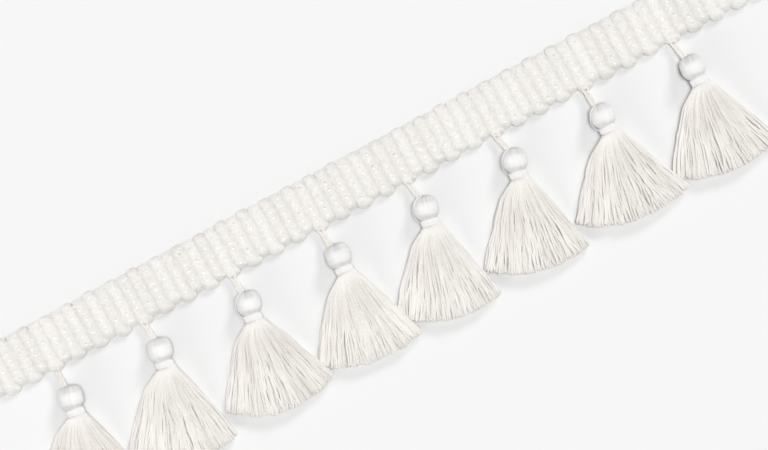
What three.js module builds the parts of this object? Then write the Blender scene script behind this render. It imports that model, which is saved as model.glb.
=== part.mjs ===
// A cut length of tassel fringe trim, lying face up: a ribbed gimp braid heading with a row of small yarn
// tassels along its lower edge. Each tassel hangs on a cord loop, has a round head and a bound neck, and its
// skirt fans out flat. Units are millimetres. +X runs along the heading, the tassels lie towards -Y and +Z is
// up. The origin is the middle of the heading's flat back.
import * as THREE from "three";

// Driving dimensions
const TASSEL_PITCH = 28.575; // 1 1/8 in from tassel to tassel
const RIBS_PER_TASSEL = 8;
const RIB_COUNT = 70;
const FIRST_TASSEL_RIB = 5;
const HEADING_WIDTH = 16; // over the loops of both edges
const LOOP_STEP = 1.5; // how far the loops of one edge stand past the ribs between them
const EDGE_HEIGHT = 0.9;
const END_SLOPE = 0.9; // length of the rounding at a rib's end
const LOOP_JITTER = 0.2; // how uneven the loops' reach is
const HANGER_LENGTH = 5.1; // from the heading's edge to the crown of the head, seen from above
const HANGER_CORD = 0.9; // diameter
const HANGER_ASIDE = 1.4; // where it meets the head, to the left of the crown's middle
const HANGER_EDGE_HEIGHT = 0.8; // of its bend, beside the heading's edge
const HANGER_SIDES = 5;
const HANGER_STEPS = 14;
const HEAD_LENGTH = 6.6;
const HEAD_RADIUS = 3.65;
const NECK_LENGTH = 2.2;
const NECK_RADIUS = 1.7;
const NECK_STEP = 0.1; // from the head's lower rim in to the neck
const BINDING_RADIUS = 2.6;
const COLLAR_RADIUS = 2.3; // top of the skirt, just under the binding
const COLLAR_LENGTH = 4.6; // how far from the neck the locks stay joined
const COLLAR_MARGIN = 0.2; // what the collar's end leaves around the locks
const SHOULDER = 3.7; // how far the outermost locks stand from the neck's middle where they leave it
const SHOULDER_LEAN = 0.5; // how much further they stand on the left side
const SHOULDER_BOW = 0.88; // power of the way down by which the skirt widens
const SHORTEST_AT = 0.2; // where across the fan the skirt is shortest, from -1 to 1
const LOCKS_PER_LAYER = 12;
const TURNED_SIDES = 12;
const GAP = 0.3; // between separate pieces

// Worked out from them
const RIB_PITCH = TASSEL_PITCH / RIBS_PER_TASSEL;
const HEADING_LENGTH = RIB_PITCH * RIB_COUNT;
const SKIRT_AT = HEAD_LENGTH + NECK_LENGTH; // down from the crown of the head

// One rib is a hairpin of two cords side by side. A row for each place across it: the place in half rib
// pitches from its middle, the height of its top, and how far its rounded end falls back there.
const RIB_SECTION = [
  { across: -1.0, height: 1.25, fallBack: 1.2 },
  { across: -0.8, height: 2.1, fallBack: 0.6 },
  { across: -0.35, height: 2.4, fallBack: 0.12 },
  { across: 0.0, height: 2.05, fallBack: 0.0 },
  { across: 0.35, height: 2.4, fallBack: 0.12 },
  { across: 0.8, height: 2.1, fallBack: 0.6 },
];
const BETWEEN_LOOPS = 0.35; // share of the falling back that a rib's short end shows

// Each strand of the hanger, from its bend at the heading's edge to the head: a distance from the edge along
// the hanger's own line or back from the crown along the head's, the distance from that line to the strand's
// middle, and the share of the rise from the edge to the crown.
const HANGER_ROUTE = [
  { fromEdge: 0.95, apart: 0.45, rise: 0.04 },
  { fromEdge: 2.15, apart: 0.6, rise: 0.26 },
  { fromCrown: 1.6, apart: 0.6, rise: 0.77 },
  { fromCrown: 0.55, apart: 0.6, rise: 1.0 },
];

// The head from its crown down: the place as a share of the head's length, and the radius as a share of its
// largest one.
const HEAD_PROFILE = [
  { down: 0.0, girth: 0.36 },
  { down: 0.04, girth: 0.62 },
  { down: 0.13, girth: 0.85 },
  { down: 0.27, girth: 0.96 },
  { down: 0.42, girth: 1.0 },
  { down: 0.66, girth: 1.0 },
  { down: 0.86, girth: 0.88 },
  { down: 1.0, girth: 0.64 },
];

// The binding's wound turns: the place down it as a share of its height, and how far the thread stands out
// from the innermost radius, as a share of its thickness.
const BINDING_PROFILE = [
  { down: 0.0, stand: 0.6 },
  { down: 0.25, stand: 1.0 },
  { down: 0.5, stand: 0.7 },
  { down: 0.75, stand: 1.0 },
  { down: 1.0, stand: 0.6 },
];

// How each tassel lies, from -X to +X: the way its hanger runs, the way its head and neck point and the way
// the outermost locks of its fan point, all in degrees from square to the heading, negative towards -X. Skirt
// is the length of its locks from the neck, and dip is how much shorter they are in its middle.
const TASSELS = [
  { swing: 16, tilt: -12, fanLeft: -54, fanRight: 20, skirt: 28.2, dip: 0.6 },
  { swing: 20, tilt: -12, fanLeft: -52, fanRight: 18, skirt: 28.2, dip: 0.6 },
  { swing: 19, tilt: -11.5, fanLeft: -46, fanRight: 28, skirt: 27.6, dip: 0.4 },
  { swing: 19, tilt: -4.5, fanLeft: -46, fanRight: 24, skirt: 28.2, dip: 1.6 },
  { swing: 25, tilt: -13, fanLeft: -50, fanRight: 18, skirt: 27.6, dip: 0.3 },
  { swing: 28, tilt: -13.5, fanLeft: -49, fanRight: 18, skirt: 28.4, dip: 1.4 },
  { swing: 17, tilt: -5, fanLeft: -48, fanRight: 27.5, skirt: 28.2, dip: 2.2 },
  { swing: 23, tilt: -2.5, fanLeft: -45, fanRight: 28, skirt: 28.0, dip: 1.8 },
];

// The skirt's layers of locks, from the floor up: the height of their flat undersides at the tips and at the
// neck, and how far their tips turn to the right, in degrees. So left tips can lie over the right tips of the
// tassel beside them.
const LAYERS = [
  { tipHeight: 0.0, neckHeight: 2.0, turn: 4 },
  { tipHeight: 1.3, neckHeight: 3.25, turn: 0 },
  { tipHeight: 2.6, neckHeight: 4.5, turn: -4 },
];
const LAYER_TURN = 4; // the largest of these turns

// A lock from the collar to its tip: the place along it as a share of the way, its width as a share of the
// room it has there, its thickness, and how far it has come down from the neck to its layer's own height.
const LOCK_STATIONS = [
  { along: 0.0, fill: 0.8, thick: 0.9, settled: 0.3 },
  { along: 0.3, fill: 0.76, thick: 0.95, settled: 0.8 },
  { along: 0.52, fill: 0.74, thick: 0.95, settled: 1.0 },
  { along: 1.0, fill: 0.64, thick: 0.85, settled: 1.0 },
];
const ROOT_ARCH = 0.5; // how much higher a layer's middle locks leave the collar than its outer ones
const TIP_JITTER = 1.1; // how uneven the locks' lengths are
const ANGLE_JITTER = 0.8; // how far a lock strays from its own direction, in degrees

const IVORY_GIMP = new THREE.MeshStandardMaterial({ color: 0xf0ede6, roughness: 0.6, metalness: 0 });
const IVORY_YARN = new THREE.MeshStandardMaterial({ color: 0xebe6dc, roughness: 0.5, metalness: 0 });
const IVORY_SATIN = new THREE.MeshStandardMaterial({ color: 0xf4f2ec, roughness: 0.4, metalness: 0 });
const IVORY_CORD = new THREE.MeshStandardMaterial({ color: 0xefece5, roughness: 0.6, metalness: 0 });

// A repeatable uneven number from -1 to 1 for a place in a row.
function uneven(row, place) {
  const wave = Math.sin(row * 127.1 + place * 311.7) * 43758.5453;
  return 2 * (wave - Math.floor(wave)) - 1;
}

function radians(degrees) {
  return THREE.MathUtils.degToRad(degrees);
}

// A skin under construction: its points, and its triangles as places in the list of points. A row is a closed
// line of points that a band joins to the next one. Looking back from the last row, each row runs
// anticlockwise.
class Skin {
  points = [];
  faces = [];

  addRow(points) {
    const first = this.points.length;
    this.points.push(...points);
    return points.map((point, place) => first + place);
  }

  addBand(row, nextRow) {
    row.forEach((here, side) => {
      const beside = (side + 1) % row.length;
      this.faces.push(here, row[beside], nextRow[side]);
      this.faces.push(row[beside], nextRow[beside], nextRow[side]);
    });
  }

  addFirstEnd(row) {
    for (let side = 1; side + 1 < row.length; side++) this.faces.push(row[0], row[side + 1], row[side]);
  }

  addLastEnd(row) {
    for (let side = 1; side + 1 < row.length; side++) this.faces.push(row[0], row[side], row[side + 1]);
  }

  toGeometry() {
    const geometry = new THREE.BufferGeometry().setFromPoints(this.points);
    geometry.setIndex(this.faces);
    geometry.computeVertexNormals();
    return geometry;
  }
}

// A closed skin over a line of sections with equally many points.
function loft(sections) {
  const skin = new Skin();
  const rows = sections.map((section) => skin.addRow(section));
  skin.addFirstEnd(rows[0]);
  for (let row = 0; row + 1 < rows.length; row++) skin.addBand(rows[row], rows[row + 1]);
  skin.addLastEnd(rows.at(-1));
  return skin.toGeometry();
}

// The heading: cross sections from one cut end to the other, six to a rib. The ribs' loops stand past the
// upper and the lower edge by turns.
function headingSection(rib, place) {
  const x = (rib + 0.5 + place.across / 2) * RIB_PITCH - HEADING_LENGTH / 2;
  const isValley = place.across === -1;
  const shortEnd = LOOP_STEP + BETWEEN_LOOPS * place.fallBack;
  const longEnd = isValley ? shortEnd : place.fallBack + LOOP_JITTER * Math.abs(uneven(rib, 1));
  const loopsUp = rib % 2 === 0;
  const high = HEADING_WIDTH / 2 - (loopsUp ? longEnd : shortEnd);
  const low = -HEADING_WIDTH / 2 + (loopsUp ? shortEnd : longEnd);
  const outline = [
    [low, 0],
    [high, 0],
    [high, EDGE_HEIGHT],
    [high - END_SLOPE, place.height],
    [low + END_SLOPE, place.height],
    [low, EDGE_HEIGHT],
  ];
  return outline.map(([y, z]) => new THREE.Vector3(x, y, z));
}

function makeHeading() {
  const sections = [];
  for (let rib = 0; rib < RIB_COUNT; rib++) {
    for (const place of RIB_SECTION) sections.push(headingSection(rib, place));
  }
  sections.push(headingSection(RIB_COUNT, RIB_SECTION[0]));
  const mesh = new THREE.Mesh(loft(sections), IVORY_GIMP);
  mesh.name = "heading";
  return mesh;
}

// A direction in the floor's plane, by its angle in degrees from square to the heading.
function towards(degrees) {
  return new THREE.Vector3(Math.sin(radians(degrees)), -Math.cos(radians(degrees)), 0);
}

// The direction square to that one, on its right.
function beside(degrees) {
  return new THREE.Vector3(Math.cos(radians(degrees)), Math.sin(radians(degrees)), 0);
}

// Where the head's crown is, seen from the point where the hanger leaves the heading.
function crownOf(tassel) {
  return towards(tassel.swing).multiplyScalar(HANGER_LENGTH);
}

// The hanger: one cord bent into a narrow loop. Its bend meets the heading's edge, and its two ends rise to
// the crown of the head and meet it squarely, a little to the left of its middle.
function makeHanger(name, tassel) {
  const half = HANGER_CORD / 2;
  const axis = towards(tassel.tilt);
  const seat = crownOf(tassel).addScaledVector(beside(tassel.tilt), -HANGER_ASIDE);
  const swing = seat.clone().normalize();
  const strand = (sign) =>
    HANGER_ROUTE.map(({ fromEdge, fromCrown, apart, rise }) => {
      const line = fromEdge === undefined ? axis : swing;
      const onLine =
        fromEdge === undefined
          ? seat.clone().addScaledVector(axis, -fromCrown)
          : swing.clone().multiplyScalar(fromEdge);
      const across = new THREE.Vector3(-line.y, line.x, 0).multiplyScalar(sign * apart);
      return onLine.add(across).setZ(THREE.MathUtils.lerp(HANGER_EDGE_HEIGHT, HEAD_RADIUS, rise));
    });
  const bend = swing.clone().multiplyScalar(GAP + half).setZ(HANGER_EDGE_HEIGHT);
  const points = [...strand(1).reverse(), bend, ...strand(-1)];
  const corners = Array.from({ length: HANGER_SIDES }, (unused, side) => {
    const turn = (2 * Math.PI * side) / HANGER_SIDES;
    return new THREE.Vector2(half * Math.cos(turn), half * Math.sin(turn));
  });
  const section = new THREE.Shape(corners);
  const geometry = new THREE.ExtrudeGeometry(section, {
    steps: HANGER_STEPS,
    bevelEnabled: false,
    extrudePath: new THREE.CatmullRomCurve3(points),
  });
  const mesh = new THREE.Mesh(geometry, IVORY_CORD);
  mesh.name = name;
  return mesh;
}

function makeBinding(name) {
  const clear = NECK_RADIUS / Math.cos(Math.PI / TURNED_SIDES) + GAP;
  const top = HEAD_LENGTH + NECK_STEP + GAP;
  const height = SKIRT_AT - GAP - top;
  const outside = BINDING_PROFILE.map(({ down, stand }) => [
    clear + (BINDING_RADIUS - clear) * stand,
    top + height * down,
  ]);
  const inside = [
    [clear, top],
    [clear, top + height],
  ];
  const toCorners = 1 / Math.cos(Math.PI / TURNED_SIDES);
  const ring = [inside[0], ...outside, inside[1], inside[0]].reverse();
  const profile = ring.map(([radius, down]) => new THREE.Vector2(radius * toCorners, -down));
  const geometry = new THREE.LatheGeometry(profile, TURNED_SIDES, Math.PI / TURNED_SIDES);
  geometry.translate(0, 0, HEAD_RADIUS);
  const mesh = new THREE.Mesh(geometry, IVORY_SATIN);
  mesh.name = name;
  return mesh;
}

// A ring of corners around the tassel's line. One of its flats faces the floor, at the given radius.
function ringAround(radius, down) {
  const toCorner = radius / Math.cos(Math.PI / TURNED_SIDES);
  return Array.from({ length: TURNED_SIDES }, (unused, corner) => {
    const turn = (2 * Math.PI * (corner + 0.5)) / TURNED_SIDES;
    return new THREE.Vector3(toCorner * Math.cos(turn), -down, HEAD_RADIUS + toCorner * Math.sin(turn));
  });
}

// A place across a tassel's fan, from -1 at its left side to 1 at its right one, by its direction in degrees.
function acrossFan(tassel, angle) {
  return (2 * angle - tassel.fanLeft - tassel.fanRight) / (tassel.fanRight - tassel.fanLeft);
}

// How long the skirt is in a direction.
function skirtLength(tassel, angle) {
  const fromShortest = (acrossFan(tassel, angle) - SHORTEST_AT) / (1 + SHORTEST_AT);
  return tassel.skirt - tassel.dip * (1 - fromShortest ** 2);
}

// A point of the skirt, by the direction of its tip from the neck in degrees, the length to that tip, the
// share of the way to it, and its height. The outer locks leave the neck aside of its middle and bow outwards,
// which gives the skirt its shoulders.
function skirtPoint(tassel, angle, length, share, z) {
  const tip = towards(angle - tassel.tilt).multiplyScalar(length);
  const root = SHOULDER * acrossFan(tassel, angle) - SHOULDER_LEAN;
  const x = tip.x * share ** SHOULDER_BOW + root * (1 - share);
  return new THREE.Vector3(x, tip.y * share - SKIRT_AT, z);
}

function layerHeight(layer, settled) {
  return THREE.MathUtils.lerp(layer.neckHeight, layer.tipHeight, settled);
}

// The three corners of a lock at one station, each as a direction from the neck and a height: the two sides
// of its flat underside, and its ridge.
function lockCorners(lock, station) {
  const half = (station.fill * lock.room) / 2;
  const angle = lock.angle + lock.stray * station.along;
  const z = layerHeight(lock.layer, station.settled) + lock.arch * (1 - station.settled);
  return [
    { angle: angle - half, z },
    { angle: angle + half, z },
    { angle, z: z + station.thick },
  ];
}

// The directions between which the locks leave the collar, and the room for each.
function collarFan(tassel) {
  const left = tassel.fanLeft + LAYER_TURN;
  const right = tassel.fanRight - LAYER_TURN;
  return { left, room: (right - left) / LOCKS_PER_LAYER };
}

// How high the collar arches at a place across it, counted in locks.
function archAt(place) {
  return ROOT_ARCH * (1 - ((2 * place) / LOCKS_PER_LAYER - 1) ** 2);
}

// All the locks of one tassel, layer by layer, each with the direction in which it leaves the collar, the
// room it has there, how high it arches, how far its tip strays from that direction, and how much shorter than
// the skirt it is.
function skirtLocks(tassel, number) {
  const { left, room } = collarFan(tassel);
  return LAYERS.map((layer, level) =>
    Array.from({ length: LOCKS_PER_LAYER }, (unused, place) => {
      const seed = LOCKS_PER_LAYER * level + place;
      return {
        layer,
        room,
        arch: archAt(place + 0.5),
        angle: left + room * (place + 0.5),
        stray: layer.turn + ANGLE_JITTER * uneven(number, seed),
        shortening: TIP_JITTER * Math.abs(uneven(number + 0.5, seed)),
      };
    }),
  );
}

// The collar's end as a grid of corners between the locks and between the layers, from the lowest row up and
// from left to right, as directions from the neck and heights.
function collarGrid(tassel) {
  const { left, room } = collarFan(tassel);
  const { thick, settled } = LOCK_STATIONS[0];
  const undersides = LAYERS.map((layer) => layerHeight(layer, settled));
  const lowest = undersides[0] - COLLAR_MARGIN;
  const between = undersides.slice(1).map((z, level) => (undersides[level] + thick + z) / 2);
  const highest = undersides.at(-1) + thick + COLLAR_MARGIN;
  return [lowest, ...between, highest].map((z) =>
    Array.from({ length: LOCKS_PER_LAYER + 1 }, (unused, place) => ({
      angle: left + room * place,
      z: z + archAt(place) * (1 - settled),
    })),
  );
}

// The four-sided cell between two rows of the collar's end, with the three-sided root of a lock left open.
function addCell(skin, lowRow, highRow, place, root) {
  const [a, b, c, d] = [lowRow[place], lowRow[place + 1], highRow[place + 1], highRow[place]];
  const [left, right, ridge] = root;
  skin.faces.push(a, b, right, a, right, left);
  skin.faces.push(b, c, ridge, b, ridge, right);
  skin.faces.push(c, d, ridge);
  skin.faces.push(d, a, left, d, left, ridge);
}

// The collar's round top under the binding, with a corner for each corner of its end's rim, in the same
// direction from the middle.
function collarTop(rim) {
  const box = new THREE.Box3().setFromPoints(rim);
  const middle = box.getCenter(new THREE.Vector3());
  const size = box.getSize(new THREE.Vector3());
  return rim.map((point) => {
    const turn = Math.atan2((point.z - middle.z) / size.z, (point.x - middle.x) / size.x);
    return new THREE.Vector3(
      COLLAR_RADIUS * Math.cos(turn),
      -SKIRT_AT,
      HEAD_RADIUS + COLLAR_RADIUS * Math.sin(turn),
    );
  });
}

// The flat shoulder between the neck's core and the collar's top.
function addShoulder(skin, neckRing, collarRing) {
  const flat = (place) => new THREE.Vector2(skin.points[place].x, skin.points[place].z);
  const places = [...collarRing, ...neckRing];
  const faces = THREE.ShapeUtils.triangulateShape(collarRing.map(flat), [neckRing.map(flat)]);
  for (const [a, b, c] of faces) skin.faces.push(places[a], places[c], places[b]);
}

// The yarn of one tassel, which is one bundle: the head, the core of the neck, the collar under the binding,
// and the locks, which start on the collar's curved end.
function makeYarn(name, tassel, number) {
  const skin = new Skin();
  const rings = [
    ...HEAD_PROFILE.map(({ down, girth }) => ringAround(HEAD_RADIUS * girth, HEAD_LENGTH * down)),
    ringAround(NECK_RADIUS, HEAD_LENGTH + NECK_STEP),
    ringAround(NECK_RADIUS, SKIRT_AT),
  ].map((ring) => skin.addRow(ring));
  skin.addFirstEnd(rings[0]);
  for (let row = 0; row + 1 < rings.length; row++) skin.addBand(rings[row], rings[row + 1]);

  const onCollar = ({ angle, z }) => {
    const length = skirtLength(tassel, angle);
    return skirtPoint(tassel, angle, length, COLLAR_LENGTH / length, z);
  };
  const grid = collarGrid(tassel).map((row) => skin.addRow(row.map(onCollar)));
  const rim = [
    ...grid[0],
    ...grid.slice(1, -1).map((row) => row.at(-1)),
    ...grid.at(-1).toReversed(),
    ...grid.slice(1, -1).map((row) => row[0]).toReversed(),
  ];
  const collarRing = skin.addRow(collarTop(rim.map((place) => skin.points[place])));
  addShoulder(skin, rings.at(-1), collarRing);
  skin.addBand(collarRing, rim);

  skirtLocks(tassel, number).forEach((layerLocks, level) => {
    layerLocks.forEach((lock, place) => {
      const rows = LOCK_STATIONS.map((station) => {
        const corners = lockCorners(lock, station).map(({ angle, z }) => {
          const length = skirtLength(tassel, angle);
          const distance = THREE.MathUtils.lerp(COLLAR_LENGTH, length - lock.shortening, station.along);
          return skirtPoint(tassel, angle, length, distance / length, z);
        });
        return skin.addRow(corners);
      });
      addCell(skin, grid[level], grid[level + 1], place, rows[0]);
      for (let row = 0; row + 1 < rows.length; row++) skin.addBand(rows[row], rows[row + 1]);
      skin.addLastEnd(rows.at(-1));
    });
  });
  const mesh = new THREE.Mesh(skin.toGeometry(), IVORY_YARN);
  mesh.name = name;
  return mesh;
}

// One tassel, hung from the loop of a rib at the heading's lower edge.
function makeTassel(tassel, number) {
  const rib = FIRST_TASSEL_RIB + RIBS_PER_TASSEL * number;
  const name = `tassel_${number + 1}`;
  const bundle = new THREE.Group();
  bundle.position.copy(crownOf(tassel));
  bundle.rotation.z = radians(tassel.tilt);
  bundle.add(makeYarn(`${name}_yarn`, tassel, number), makeBinding(`${name}_binding`));
  const group = new THREE.Group();
  group.position.set((rib + 0.5) * RIB_PITCH - HEADING_LENGTH / 2, -HEADING_WIDTH / 2, 0);
  group.add(makeHanger(`${name}_hanger`, tassel), bundle);
  return group;
}

const trim = new THREE.Group();
trim.name = "tassel_fringe_trim";
trim.add(makeHeading());
TASSELS.forEach((tassel, number) => trim.add(makeTassel(tassel, number)));

export default trim;
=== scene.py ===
"""The looks of a tassel fringe trim: a gimp braid with eight yarn tassels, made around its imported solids.

Lengths are in metres. X runs along the braid, the tassels lie towards -Y, Z is up, and the braid's back is
at 0. Everything on the trim is a thread or a cord, so every piece is a group of closed tubes: rings carried
along paths.
"""

import math
from typing import NamedTuple

import bpy
import numpy as np
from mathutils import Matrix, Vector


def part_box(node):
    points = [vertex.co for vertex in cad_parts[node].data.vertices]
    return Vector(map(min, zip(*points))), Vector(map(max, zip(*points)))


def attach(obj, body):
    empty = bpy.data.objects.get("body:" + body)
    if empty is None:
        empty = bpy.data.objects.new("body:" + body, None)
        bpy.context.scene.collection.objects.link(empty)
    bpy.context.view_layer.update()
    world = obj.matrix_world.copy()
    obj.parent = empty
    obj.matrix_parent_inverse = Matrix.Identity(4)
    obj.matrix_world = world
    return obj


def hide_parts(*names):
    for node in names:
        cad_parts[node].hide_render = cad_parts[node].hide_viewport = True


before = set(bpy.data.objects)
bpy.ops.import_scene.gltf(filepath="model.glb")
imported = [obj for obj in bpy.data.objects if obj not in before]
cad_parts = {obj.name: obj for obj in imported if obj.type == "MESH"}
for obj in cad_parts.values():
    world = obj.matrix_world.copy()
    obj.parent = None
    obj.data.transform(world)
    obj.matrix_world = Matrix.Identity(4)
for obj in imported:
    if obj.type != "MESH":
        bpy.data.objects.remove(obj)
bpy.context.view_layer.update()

bl_info = {
    "name": "Tassel fringe trim",
    "version": (1, 0, 0),
    "blender": (4, 5, 0),
    "location": "3D View > Sidebar > Fringe",
    "description": "Makes a gimp braid with yarn tassels, thread by thread, and a stage for its picture",
    "category": "Add Mesh",
}

MM = 0.001
UP = np.array([0.0, 0.0, 1.0])
FULL_TURN = 2 * math.pi

# How the part's source lays the braid out
BRAID_LOW, BRAID_HIGH = (np.array(corner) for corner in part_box("heading"))
RIB_COUNT = 70
RIBS_PER_TASSEL = 8
FIRST_TASSEL_RIB = 5
RIB_PITCH = float(BRAID_HIGH[0] - BRAID_LOW[0]) / RIB_COUNT
HALF_BRAID = 8.0 * MM

# How the part's source lays each tassel out, down from the crown
HANGER_LENGTH = 5.1 * MM
HANGER_ASIDE = 1.4 * MM
HEAD_LENGTH = 6.6 * MM
HEAD_RADIUS = 3.65 * MM
HEAD_ASIDE = 0.5 * MM
NECK_LENGTH = 2.2 * MM
SKIRT_AT = HEAD_LENGTH + NECK_LENGTH


class Tassel(NamedTuple):
    """How one tassel lies, in degrees from square to the braid and positive towards +X.

    swing is its crown's way from its hanger's root, tilt its head's way, and fan_left and fan_right bound
    its skirt. skirt is the skirt's length in millimetres, and dip how much shorter it is near its middle.
    parted says how far its locks stand apart, and loose is 1 if a thread strays by its head.
    """

    swing: float
    tilt: float
    fan_left: float
    fan_right: float
    skirt: float
    dip: float
    parted: float
    loose: int


TASSELS = [
    Tassel(swing=16, tilt=-12, fan_left=-54, fan_right=20, skirt=28.2, dip=0.6, parted=0.38, loose=0),
    Tassel(swing=20, tilt=-12, fan_left=-52, fan_right=18, skirt=28.2, dip=0.6, parted=0.38, loose=0),
    Tassel(swing=19, tilt=-11.5, fan_left=-46, fan_right=28, skirt=27.6, dip=0.4, parted=0.38, loose=1),
    Tassel(swing=19, tilt=-4.5, fan_left=-46, fan_right=24, skirt=28.2, dip=1.6, parted=0.55, loose=0),
    Tassel(swing=25, tilt=-13, fan_left=-50, fan_right=18, skirt=27.6, dip=0.3, parted=0.38, loose=1),
    Tassel(swing=28, tilt=-13.5, fan_left=-49, fan_right=18, skirt=28.4, dip=1.4, parted=0.24, loose=1),
    Tassel(swing=17, tilt=-5, fan_left=-48, fan_right=27.5, skirt=28.2, dip=2.2, parted=0.45, loose=1),
    Tassel(swing=23, tilt=-2.5, fan_left=-45, fan_right=28, skirt=28.0, dip=1.8, parted=0.45, loose=0),
]


class Tubes(NamedTuple):
    """Closed tubes of one make.

    rings holds points by tube, row along it, side around it and axis. shade, from -1 to 1, and
    hollow, from 0 to 1, spread over the first three of these. shade is a tone of the thread's own,
    with painted light in it just below the skirts' necks. hollow is painted shade: it darkens the
    colour where shade falls. strip is how many rows make one strip of the map for textures.
    """

    rings: np.ndarray
    shade: np.ndarray
    strip: int
    hollow: np.ndarray = np.zeros(1)


def smooth(rows, places, at):
    """A cubic through rows that stand at rising places, read at other places.

    At each row its slope is that of the parabola through the row and its two neighbours.
    """
    slope = np.gradient(rows, places, axis=0)
    low = np.clip(np.searchsorted(places, at, side="right") - 1, 0, len(places) - 2)
    span = (places[low + 1] - places[low])[..., None]
    part = (at - places[low])[..., None] / span
    rest = 1 - part
    from_low = rest**2 * ((1 + 2 * part) * rows[low] + part * span * slope[low])
    from_high = part**2 * ((1 + 2 * rest) * rows[low + 1] - rest * span * slope[low + 1])
    return from_low + from_high


def lengths(points):
    """How far each point of a path is along it, by adding up its straight steps."""
    steps = np.linalg.norm(np.diff(points, axis=-2), axis=-1)
    return np.concatenate([np.zeros_like(steps[..., :1]), np.cumsum(steps, axis=-1)], axis=-1)


def spline(rows, count):
    """count points, evenly spaced, on the smooth cubic through rows of places."""
    places = lengths(rows)
    return smooth(rows, places, np.linspace(0, places[-1], count))


def ease(value, start, end):
    """0 up to start, 1 from end on, and the cubic with level ends between them."""
    part = np.clip((value - start) / (end - start), 0, 1)
    return part * part * (3 - 2 * part)


def bell(value, width, power=2):
    """A bell curve: e to minus a power of the value over the width. A higher power flattens its top."""
    return np.exp(-((value / width) ** power))


def heading_to(degrees):
    """The level direction that is turned so far from -Y towards +X."""
    turn = np.radians(degrees)
    return np.stack([np.sin(turn), -np.cos(turn), np.zeros_like(turn)], axis=-1)


def beside(degrees):
    """The level direction square to heading_to, on its +X side."""
    turn = np.radians(degrees)
    return np.stack([np.cos(turn), np.sin(turn), np.zeros_like(turn)], axis=-1)


def unit(vectors):
    """The vectors at length 1."""
    return vectors / np.linalg.norm(vectors, axis=-1, keepdims=True)


def oval(wide, high, sides):
    """Offsets of the points around a thread's middle line, across it and up, on an ellipse.

    They are the cosine and sine of even turns, times the half width wide and the half height high.
    """
    turn = np.arange(sides) * FULL_TURN / sides
    return np.multiply.outer(wide, np.cos(turn)), np.multiply.outer(high, np.sin(turn))


def carry(path, section, above=UP):
    """Rings carried along paths: at each point the section's offsets, across and up, square to the path.

    Up is towards above, as far as that is square to the path.
    """
    across, upward = section
    along = unit(np.gradient(path, axis=-2))
    side = unit(np.cross(above, along))
    rise = np.cross(along, side)
    sideways = across[..., None] * side[..., None, :]
    upwards = upward[..., None] * rise[..., None, :]
    return path[..., None, :] + sideways + upwards


END_GIRTH = 0.55


def rounded(count):
    """Shares of a tube's girth along count rows: full, but for a first and last row that round its ends."""
    share = np.ones(count)
    share[[0, -1]] = END_GIRTH
    return share


# In the map for textures: what is left free beside a strip, as a share of it, and what each cap takes
STRIP_MARGIN = 0.1
END_MARGIN = 0.02
# How many millimetres further along each tube's pattern starts, and after how many it begins again
PATTERN_STEP = 7.3
PATTERN_SPAN = 40


def corner_maps(along, turn, band, level, bands):
    """The threads map and the texture map at the corners of faces.

    The threads map is millimetres along a tube and turns around it. The texture map has upright bands side
    by side: its turns go across its band, and its level up it.
    """
    across = (band + STRIP_MARGIN + (1 - 2 * STRIP_MARGIN) * turn) / bands
    threads = np.stack(np.broadcast_arrays(along, turn), axis=-1)
    textures = np.stack(np.broadcast_arrays(across, level), axis=-1)
    return threads.reshape(-1, 2), textures.reshape(-1, 2)


def strips_of(tubes):
    """How many strips of the map for textures one tube takes up."""
    return math.ceil((tubes.rings.shape[1] - 1) / tubes.strip)


def joined(tubes, first, band, bands):
    """Points, faces, maps and attributes of one group of tubes, with vertices numbered from first.

    Neighbouring rings are joined by four-sided faces, and a fan from the middle of an end ring closes that
    end. In the map for textures the strips are numbered from band, of bands in all.
    """
    count, rows, sides = tubes.rings.shape[:3]
    index = first + np.arange(count * rows * sides).reshape(count, rows, sides)
    following = np.roll(index, -1, axis=2)
    middle = first + index.size + np.arange(2 * count).reshape(2, count, 1)
    middle = np.broadcast_to(middle, (2, count, sides))
    quads = np.stack([index[:, :-1], following[:, :-1], following[:, 1:], index[:, 1:]], axis=-1)
    starts = np.stack([middle[0], following[:, 0], index[:, 0]], axis=-1)
    ends = np.stack([middle[1], index[:, -1], following[:, -1]], axis=-1)
    centres = tubes.rings[:, [0, -1]].mean(axis=2)

    tube = np.arange(count)[:, None]
    row = np.arange(rows - 1)
    along = lengths(tubes.rings.mean(axis=2)) / MM + PATTERN_STEP * tube % PATTERN_SPAN
    turn = np.arange(sides + 1) / sides
    near, far = turn[:-1], turn[1:]
    half = (near + far) / 2
    strip = band + tube * strips_of(tubes) + row // tubes.strip
    in_strip = ((row % tubes.strip)[:, None] + np.array([0, 1])) / tubes.strip
    level = END_MARGIN + (1 - 2 * END_MARGIN) * in_strip
    side_maps = corner_maps(
        np.stack([along[:, :-1], along[:, :-1], along[:, 1:], along[:, 1:]], axis=-1)[:, :, None],
        np.stack([near, far, far, near], axis=-1),
        strip[:, :, None, None],
        level[:, None, [0, 0, 1, 1]],
        bands,
    )
    start_maps = corner_maps(
        along[:, :1, None],
        np.stack([half, far, near], axis=-1),
        strip[:, :1, None],
        np.array([0.0, END_MARGIN, END_MARGIN]),
        bands,
    )
    end_maps = corner_maps(
        along[:, -1:, None],
        np.stack([half, near, far], axis=-1),
        strip[:, -1:, None],
        level[-1, 1] + np.array([END_MARGIN, 0.0, 0.0]),
        bands,
    )
    threads, textures = (np.concatenate(maps) for maps in zip(side_maps, start_maps, end_maps))

    def spread(values):
        full = np.broadcast_to(values, (count, rows, sides))
        return np.concatenate([full.ravel(), full[:, 0].mean(axis=1), full[:, -1].mean(axis=1)])

    return {
        "points": np.concatenate([tubes.rings.reshape(-1, 3), centres[:, 0], centres[:, 1]]),
        "corners": np.concatenate([quads.ravel(), starts.ravel(), ends.ravel()]),
        "sizes": np.repeat([4, 3], [quads.size // 4, 2 * count * sides]),
        "threads": threads,
        "OFBake": textures,
        "shade": spread(tubes.shade),
        "hollow": spread(tubes.hollow),
    }


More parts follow.
